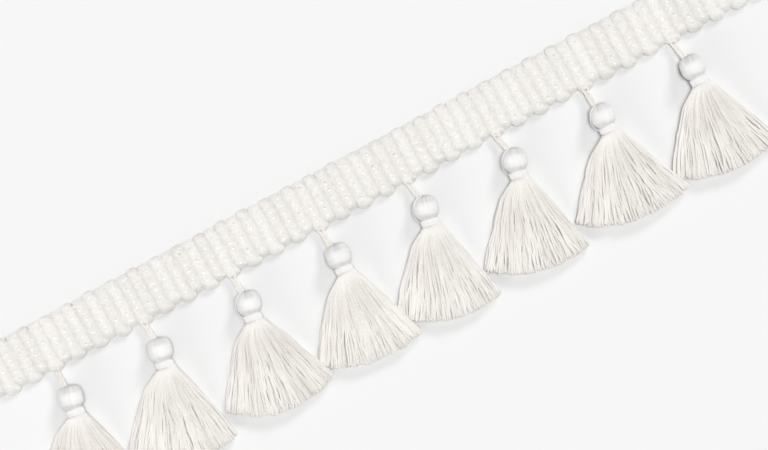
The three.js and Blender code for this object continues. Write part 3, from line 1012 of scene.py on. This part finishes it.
def yarn_lay(parted, settings, rng):
    """Deals a skirt's yarns out in layers of locks. A lock's yarns share what is drawn for the lock."""
    layers, locks, yarns = settings.layers, settings.locks, settings.yarns_per_lock
    by_lock = (layers, locks, 1)
    by_yarn = (layers * locks * yarns, 1)

    def each(values):
        return np.array(np.broadcast_to(values, (layers, locks, yarns))).reshape(by_yarn)

    def lock_chance(low=-1.0, high=1.0):
        return each(rng.uniform(low, high, by_lock))

    def yarn_chance(low=-1.0, high=1.0):
        return rng.uniform(low, high, by_yarn)

    widths = rng.uniform(*LOCK_WIDTHS, by_lock)
    widths *= 2 / widths.sum(axis=1, keepdims=True)
    lock_middle = each(np.cumsum(widths, axis=1) - widths / 2 - 1)
    fan = lock_middle + each(widths * ((np.arange(yarns) + 0.5) / yarns - 0.5))
    layer = each(np.arange(layers)[:, None, None] / (layers - 1))
    return YarnLay(
        lock_middle=lock_middle,
        fan=np.clip(fan + FAN_JITTER * yarn_chance(), -1, 1),
        layer=layer,
        level=np.clip(layer + LOCK_LEVEL * lock_chance() + YARN_LEVEL * yarn_chance(), 0, 1),
        reach=MEAN_REACH + LOCK_REACH * lock_chance() + YARN_REACH * yarn_chance(),
        shade=LOCK_SHADE * lock_chance() + YARN_SHADE * yarn_chance(),
        parted=parted * lock_chance(0.0),
        tip_parted=TIP_PARTING * parted * lock_chance(0.0),
        parted_at=lock_chance(*PARTED_AT),
        parted_span=lock_chance(*PARTED_SPAN),
        lock_wave=lock_chance(),
        lock_start=lock_chance(0.0),
        wave=yarn_chance(),
        wave_up=yarn_chance(),
        start=yarn_chance(),
        pace=yarn_chance(*YARN_WAVES),
        crossing=(yarn_chance(0.0) < CROSSING_YARNS) * yarn_chance(-CROSSING_REACH, CROSSING_REACH),
    )


# Where across the fan a skirt is shortest
SHORTEST_AT = 0.2
# Along a yarn, as shares of the skirt's length: where it swells to the shoulder, sways, settles on its
# layer's level and grows to its full girth, and the stretch below the neck where it stands out
INTO_SHOULDER = (0.02, 0.22)
INTO_SWAY = (0.08, 0.5)
INTO_LEVEL = (0.02, 0.64)
INTO_GIRTH = (0.02, 0.42)
OUT_OF_NECK = (0.04, 0.14)
INTO_SKIRT = (0.35, 0.75)
# The roots start this far up in the neck, which fades over this share of the skirt
ROOT_INSIDE = 0.5 * MM
ROOT_SHARE = 0.1
# How much the roots and the finished skirt fall towards their sides, and the lowest level's height
ROOT_ARCH = 0.85
SKIRT_ARCH = 0.55
LOWEST_LEVEL = 0.3 * MM
# A yarn's girth at its root as a share, how much its shade adds, and its clearance from the floor in girths
ROOT_GIRTH = 0.7
SHADE_GIRTH = 0.12
YARN_CLEARANCE = 1.05
# How much of its shade a yarn has below the neck, its painted light there, and where that fades
NECK_SHADE = 0.5
INTO_SHADE = (0.1, 0.5)
NECK_PAINTED_LIGHT = 0.3
PAINTED_LIGHT_FADES = (0.06, 0.32)
# Yarns whose wave is above this get painted shade below the neck, by this much
PAINTED_SHADE_FROM = 0.3
SKIRT_PAINTED_SHADE = 0.8
# Where a yarn's rounded cut tip ends, as a share of its reach
TIP_SHARE = 1.004


def skirt_yarns(number, settings, rng):
    """The yarns of one tassel's skirt, in layers of locks that lie on the floor.

    Each yarn has a place across the fan, from -1 to 1. Down the tassel's axis it goes straight to its tip.
    Sideways it swells from the neck to the skirt's shoulder, which fades along the way, and goes to its tip
    by a power of the way below 1. Along a stretch of its own, by a bell curve, each lock gathers towards
    its middle, which parts the locks, and again at its tip. Heights fall from the neck to the layer's level
    by an eased curve. Slow sines wave each lock and each yarn, and some yarns drift across their
    neighbours. Just below the neck the yarns lie at heights of their own, some get painted shade there, and
    all get painted light there that fades further down.
    """
    tassel = TASSELS[number]
    lay = yarn_lay(tassel.parted, settings, rng)
    rows = settings.yarn_rows
    share = lay.reach * np.append(np.linspace(0, 1, rows - 1), TIP_SHARE)

    gathered = lay.parted * bell(share - lay.parted_at, lay.parted_span)
    gathered = gathered + lay.tip_parted * ease(share, *TIPS_FROM)
    place = lay.fan + (lay.lock_middle - lay.fan) * gathered + lay.crossing * share**2
    place = np.clip(place, -1, 1)
    half_fan = (tassel.fan_right - tassel.fan_left) / 2
    turn = np.radians(tassel.fan_left + half_fan * (1 + place) - tassel.tilt)
    from_shortest = (place - SHORTEST_AT) / (1 + SHORTEST_AT)
    length = (tassel.skirt - tassel.dip * (1 - from_shortest**2)) * MM

    root = settings.neck_radius * place
    shoulder = settings.shoulder * place - settings.shoulder_lean
    root = root + (shoulder - root) * ease(share, *INTO_SHOULDER)
    bow = settings.shoulder_bow + 0.5 * (1 - settings.shoulder_bow) * (1 + place)
    lock_sway = LOCK_SWAY * lay.lock_wave * np.sin(FULL_TURN * (LOCK_WAVES * share + lay.lock_start))
    yarn_sway = YARN_SWAY * lay.wave * np.sin(FULL_TURN * (lay.pace * share + lay.start))
    sway = (lock_sway + yarn_sway) * ease(share, *INTO_SWAY)
    across = root * (1 - share) + length * np.sin(turn) * share**bow + sway
    down = length * np.cos(turn) * share - ROOT_INSIDE * (1 - ease(share, 0.0, ROOT_SHARE))

    settled = ease(share, *INTO_LEVEL)
    below_neck = ease(share, *OUT_OF_NECK) * (1 - ease(share, *INTO_SKIRT))
    root_up = settings.neck_radius * np.sqrt(1 - ROOT_ARCH * place**2) * (2 * lay.layer - 1)
    tip_up = LOWEST_LEVEL + settings.skirt_depth * lay.level * np.sqrt(1 - SKIRT_ARCH * place**2)
    up = HEAD_RADIUS + root_up + (tip_up - HEAD_RADIUS - root_up) * settled
    up = up + YARN_RISE * lay.wave_up * np.sin(FULL_TURN * (lay.pace * share + 2 * lay.start)) * settled
    up = up + NECK_RISE * lay.start * below_neck
    girth = settings.yarn_radius * (ROOT_GIRTH + (1 - ROOT_GIRTH) * ease(share, *INTO_GIRTH))
    girth = girth * (1 + SHADE_GIRTH * lay.shade)
    up = np.maximum(up, YARN_CLEARANCE * girth)

    path = (
        crown_of(number)
        + (SKIRT_AT + down)[..., None] * heading_to(tassel.tilt)
        + across[..., None] * beside(tassel.tilt)
        + up[..., None] * UP
    )
    girth = girth * rounded(rows)
    rings = carry(path, oval(girth, girth, settings.yarn_sides))
    shade = lay.shade * (NECK_SHADE + (1 - NECK_SHADE) * ease(share, *INTO_SHADE))
    # Painted light: the yarns are drawn lighter just below the neck, and that fades down the skirt
    shade = shade + NECK_PAINTED_LIGHT * (1 - ease(share, *PAINTED_LIGHT_FADES))
    # Painted shade: dark lines on some yarns just below the neck
    hollow = SKIRT_PAINTED_SHADE * np.maximum(lay.wave - PAINTED_SHADE_FROM, 0) * below_neck
    return [Tubes(rings, shade[..., None], rows - 1, hollow[..., None])]


def length_setting(name, description, size):
    """A length that a user may change, in metres."""
    return bpy.props.FloatProperty(
        name=name, description=description, default=size, min=0.0, unit="LENGTH", precision=5
    )


def number_setting(name, description, value):
    """A plain number that a user may change."""
    return bpy.props.FloatProperty(name=name, description=description, default=value, min=0.0)


def angle_setting(name, description, degrees):
    """An angle that a user may change."""
    return bpy.props.FloatProperty(
        name=name, description=description, default=math.radians(degrees), subtype="ANGLE"
    )


def colour_setting(name, description, colour):
    """A colour that a user may change."""
    return bpy.props.FloatVectorProperty(
        name=name, description=description, default=colour, min=0.0, max=1.0, size=3, subtype="COLOR"
    )


def count_setting(name, description, count):
    """A number of things that a user may change."""
    return bpy.props.IntProperty(name=name, description=description, default=count, min=1)


class BraidSettings(bpy.types.PropertyGroup):
    """Sizes and colours of the braid's ribs and threads."""

    rib_rows: count_setting("Rib rows", "Rings along one rib", 70)
    unevenness: length_setting("Unevenness", "How far a rib or its loop may be out of place", 0.22 * MM)
    rib_shift: length_setting("Rib shift", "How far the ribs lie towards +X", 0.3 * MM)
    upper_lean: length_setting("Upper lean", "How far the upper loops lean towards -X", 0.2 * MM)
    lower_lean: length_setting("Lower lean", "How far the lower loops lean towards +X", 0.5 * MM)
    seam: length_setting("Seam", "Depth of the seams between ribs", 0.19 * MM)
    # The seams' painted shade: how far it reaches from a seam's middle, and how much dark colour it paints
    seam_width: length_setting("Seam width", "From a seam's middle to where its shade ends", 0.8 * MM)
    seam_shade: number_setting("Seam shade", "How much of the dark colour is in the seams", 0.25)
    middle_seam: length_setting("Middle seam", "Depth of the stitched line along a rib", 0.03 * MM)
    warp_rows: count_setting("Warp rows", "Rows of stitches across the ribs", 6)
    warp_middle: length_setting("Warp middle", "How far the rows lie towards the upper edge", 0.36 * MM)
    warp_spacing: length_setting("Warp spacing", "From one row of stitches to the next", 2.07 * MM)
    warp_radius: length_setting("Warp radius", "Half the thickness of a fine thread", 0.18 * MM)
    warp_sides: count_setting("Warp sides", "Points around a fine thread", 6)
    stitch_height: length_setting("Stitch height", "A stitch's middle above the braid's back", 2.36 * MM)
    hole: length_setting("Hole", "Depth of the deepest holes beside the stitches", 0.5 * MM)
    # Stitch colour: the thread's own, and whiter than the cord as a painted glint
    stitch: colour_setting("Stitch", "Fine threads over the cords", (0.995, 0.99, 0.98))
    # The cord's light and dark bound its own random tone; the dark is also where painted shade leads
    light: colour_setting("Gimp light", "Gimp cord where it catches the light", (0.912, 0.898, 0.874))
    dark: colour_setting("Gimp dark", "Gimp cord in its seams and holes", (0.64, 0.617, 0.567))


class TasselSettings(bpy.types.PropertyGroup):
    """Sizes and colours of the hangers and tassels."""

    hanger_rows: count_setting("Hanger rows", "Rings along one ply of a hanger", 96)
    hanger_ply: length_setting("Hanger ply", "Half the thickness of one ply of a hanger", 0.26 * MM)
    hanger_twist: length_setting("Hanger twist", "Along a hanger for one turn of its plies", 2.8 * MM)
    head_rows: count_setting("Head rows", "Rings along a tassel's head", 34)
    head_yarns: count_setting("Head yarns", "Yarns around a tassel's head", 52)
    sides_per_yarn: count_setting("Sides per yarn", "Points across one yarn of a head", 4)
    binding_turns: count_setting("Binding turns", "Turns of thread around a neck", 8)
    binding_thread: length_setting("Binding thread", "Half the thickness of a neck's thread", 0.15 * MM)
    binding_radius: length_setting("Binding radius", "From a neck's middle to its outside", 2.8 * MM)
    neck_radius: length_setting("Neck radius", "Half the width of the yarns below the neck", 2.25 * MM)
    layers: count_setting("Layers", "Layers of locks in a skirt", 5)
    locks: count_setting("Locks", "Locks in each layer of a skirt", 12)
    yarns_per_lock: count_setting("Yarns per lock", "Yarns in each lock of a skirt", 7)
    skirt_depth: length_setting("Skirt depth", "From a skirt's lowest layer to its top one", 2.7 * MM)
    shoulder: length_setting("Shoulder", "Half the skirt's width just below the neck", 3.4 * MM)
    shoulder_lean: length_setting("Shoulder lean", "How far the shoulder lies to the left", 0.8 * MM)
    shoulder_bow: number_setting("Shoulder bow", "Power by which a skirt's left side widens", 0.88)
    yarn_radius: length_setting("Yarn radius", "Half the thickness of a yarn at its cut end", 0.28 * MM)
    yarn_rows: count_setting("Yarn rows", "Rings along one yarn of a skirt", 18)
    yarn_sides: count_setting("Yarn sides", "Points around one yarn of a skirt", 4)
    light: colour_setting("Yarn light", "Yarn where it catches the light", (0.942, 0.926, 0.9))
    dark: colour_setting("Yarn dark", "Yarn between its filaments", (0.79, 0.757, 0.708))
    # The satin's dark is mostly reached by painted shade, at a head's crown and tie
    satin_light: colour_setting("Satin light", "Head yarn in the light", (0.902, 0.897, 0.889))
    satin_dark: colour_setting("Satin dark", "Head yarn where it bends in", (0.51, 0.51, 0.49))


class StageSettings(bpy.types.PropertyGroup):
    """The floor, the light and the camera. Lights are in watts on a square metre, and ways from X to Y."""

    floor_size: length_setting("Floor size", "Length of the floor's sides", 4.0)
    floor: colour_setting("Floor colour", "Plain pale floor", (0.868, 0.868, 0.868))
    sky: number_setting("Even light", "Light from all sides, as a share of white", 0.15)
    overhead: number_setting("Overhead light", "Soft light from above", 2.0)
    overhead_height: angle_setting("Overhead height", "The overhead light above the floor", 87)
    overhead_way: angle_setting("Overhead way", "Where the overhead light comes from", 10)
    overhead_width: angle_setting("Overhead width", "The angle that the overhead light fills", 19)
    key: number_setting("Key light", "Light from the upper right", 1.2)
    key_height: angle_setting("Key height", "The key light above the floor", 30)
    key_way: angle_setting("Key way", "Where the key light comes from", 40)
    key_width: angle_setting("Key width", "The angle that the key light fills", 18)
    fill: number_setting("Fill light", "Light from the lower left", 1.45)
    fill_height: angle_setting("Fill height", "The fill light above the floor", 10)
    fill_way: angle_setting("Fill way", "Where the fill light comes from", 212)
    fill_width: angle_setting("Fill width", "The angle that the fill light fills", 50)
    view_width: length_setting("View width", "Width of the floor that the camera sees", 220.4 * MM)
    lens: number_setting("Lens", "Focal length in millimetres", 150.0)
    roll: angle_setting("Roll", "How far the braid rises in the picture", 28)


# What chance starts from
BRAID_SEED = 11
HANGER_SEED = 100
HEAD_SEED = 200
BINDING_SEED = 300
SKIRT_SEED = 400


class FRINGE_OT_braid(bpy.types.Operator):
    """Makes the gimp braid: its looped ribs and the fine warp threads that hold them"""

    bl_idname = "fringe.braid"
    bl_label = "Gimp braid"

    def execute(self, context):
        settings = context.scene.fringe_braid
        rng = np.random.default_rng(BRAID_SEED)
        gimp = thread_finish("gimp_cord", settings.light, settings.dark, GIMP_LOOK)
        ribs = [gimp_ribs(list(range(start, RIB_COUNT, 2)), settings, rng) for start in (0, 1)]
        braid = add_piece("gimp_braid", ribs, gimp, "heading")
        fine = thread_finish("warp_thread", settings.stitch, settings.dark, WARP_LOOK)
        threads = [warp_threads(settings, rng)]
        warps = add_piece("braid_warp_threads", threads, fine, "heading")
        return {"FINISHED"}


class FRINGE_OT_hangers(bpy.types.Operator):
    """Makes the loops of twisted cord that the tassels hang from"""

    bl_idname = "fringe.hangers"
    bl_label = "Hangers"

    def execute(self, context):
        settings = context.scene.fringe_tassels
        cord = thread_finish("hanger_cord", settings.light, settings.dark, HANGER_LOOK)
        add_to_tassels("hanger", hanger_loop, cord, "hanger", settings, HANGER_SEED)
        return {"FINISHED"}


class FRINGE_OT_heads(bpy.types.Operator):
    """Makes the satin heads of the tassels, with a stray thread beside some of them"""

    bl_idname = "fringe.heads"
    bl_label = "Tassel heads"

    def execute(self, context):
        settings = context.scene.fringe_tassels
        satin = thread_finish("head_yarn", settings.satin_light, settings.satin_dark, HEAD_LOOK)
        add_to_tassels("tassel_head", head_with_stray, satin, "yarn", settings, HEAD_SEED)
        return {"FINISHED"}


class FRINGE_OT_bindings(bpy.types.Operator):
    """Makes the threads wound around the tassels' necks"""

    bl_idname = "fringe.bindings"
    bl_label = "Neck bindings"

    def execute(self, context):
        settings = context.scene.fringe_tassels
        thread = thread_finish("binding_thread", settings.satin_light, settings.dark, BINDING_LOOK)
        add_to_tassels("neck_binding", neck_binding, thread, "binding", settings, BINDING_SEED)
        return {"FINISHED"}


class FRINGE_OT_skirts(bpy.types.Operator):
    """Makes the skirts of the tassels, yarn by yarn"""

    bl_idname = "fringe.skirts"
    bl_label = "Tassel skirts"

    def execute(self, context):
        settings = context.scene.fringe_tassels
        yarn = thread_finish("skirt_yarn", settings.light, settings.dark, SKIRT_LOOK)
        add_to_tassels("tassel_skirt", skirt_yarns, yarn, "yarn", settings, SKIRT_SEED)
        return {"FINISHED"}


# Where the middle of the picture is on the trim
PICTURE_MIDDLE = (-2.96 * MM, -14.6 * MM)
SENSOR_WIDTH = 36.0


def floor_finish(colour):
    """A plain pale floor without gloss."""
    material = bpy.data.materials.new("pale_floor")
    material.use_nodes = True
    tree = material.node_tree
    tree.nodes.clear()
    dull = {"Base Color": (*colour, 1.0), "Roughness": 0.9, "Specular IOR Level": 0.0}
    shader = add_node(tree, "ShaderNodeBsdfPrincipled", dull)
    add_node(tree, "ShaderNodeOutputMaterial", {"Surface": shader.outputs[0]})
    return material


def add_light(name, settings):
    """A far soft light, by its settings: its strength, way around, height above the floor and width."""
    sun = bpy.data.lights.new(f"{name}_light", "SUN")
    sun.energy = getattr(settings, name)
    sun.angle = getattr(settings, f"{name}_width")
    light = bpy.data.objects.new(f"{name}_light", sun)
    height = getattr(settings, f"{name}_height")
    light.rotation_euler = (0.0, math.pi / 2 - height, getattr(settings, f"{name}_way"))
    bpy.context.scene.collection.objects.link(light)


class FRINGE_OT_stage(bpy.types.Operator):
    """Makes the floor, the soft light and the camera"""

    bl_idname = "fringe.stage"
    bl_label = "Stage"

    def execute(self, context):
        settings = context.scene.fringe_stage
        scene = context.scene
        half = settings.floor_size / 2
        corners = [(-half, -half, 0), (half, -half, 0), (half, half, 0), (-half, half, 0)]
        mesh = bpy.data.meshes.new("floor")
        mesh.from_pydata(corners, [], [(0, 1, 2, 3)])
        mesh.materials.append(floor_finish(settings.floor))
        floor = bpy.data.objects.new("floor", mesh)
        scene.collection.objects.link(floor)

        world = bpy.data.worlds.new("even_light")
        world.use_nodes = True
        background = world.node_tree.nodes["Background"]
        background.inputs["Color"].default_value = (1.0, 1.0, 1.0, 1.0)
        background.inputs["Strength"].default_value = settings.sky
        scene.world = world
        for name in ("key", "fill", "overhead"):
            add_light(name, settings)

        lens = bpy.data.cameras.new("camera")
        lens.lens = settings.lens
        lens.sensor_width = SENSOR_WIDTH
        camera = bpy.data.objects.new("camera", lens)
        camera.location = (*PICTURE_MIDDLE, settings.lens / SENSOR_WIDTH * settings.view_width)
        camera.rotation_euler = (0.0, 0.0, -settings.roll)
        scene.collection.objects.link(camera)
        scene.camera = camera
        scene.view_settings.view_transform = "Standard"
        return {"FINISHED"}


OPERATORS = (
    FRINGE_OT_stage,
    FRINGE_OT_braid,
    FRINGE_OT_hangers,
    FRINGE_OT_heads,
    FRINGE_OT_bindings,
    FRINGE_OT_skirts,
)


class FRINGE_PT_pieces(bpy.types.Panel):
    """Lists the trim's pieces and the stage"""

    bl_idname = "FRINGE_PT_pieces"
    bl_label = "Tassel fringe trim"
    bl_space_type = "VIEW_3D"
    bl_region_type = "UI"
    bl_category = "Fringe"

    def draw(self, context):
        for operator in OPERATORS:
            self.layout.operator(operator.bl_idname)


CLASSES = (BraidSettings, TasselSettings, StageSettings, *OPERATORS, FRINGE_PT_pieces)


def register():
    """Registers the classes and gives the scene its settings."""
    for kind in CLASSES:
        bpy.utils.register_class(kind)
    bpy.types.Scene.fringe_braid = bpy.props.PointerProperty(type=BraidSettings)
    bpy.types.Scene.fringe_tassels = bpy.props.PointerProperty(type=TasselSettings)
    bpy.types.Scene.fringe_stage = bpy.props.PointerProperty(type=StageSettings)


def unregister():
    """Takes the settings and the classes away again."""
    del bpy.types.Scene.fringe_stage
    del bpy.types.Scene.fringe_tassels
    del bpy.types.Scene.fringe_braid
    for kind in reversed(CLASSES):
        bpy.utils.unregister_class(kind)


def main():
    """Makes every piece and the stage."""
    register()
    bpy.ops.fringe.stage()
    bpy.ops.fringe.braid()
    bpy.ops.fringe.hangers()
    bpy.ops.fringe.heads()
    bpy.ops.fringe.bindings()
    bpy.ops.fringe.skirts()
    bpy.context.view_layer.update()


if __name__ == "__main__":
    main()
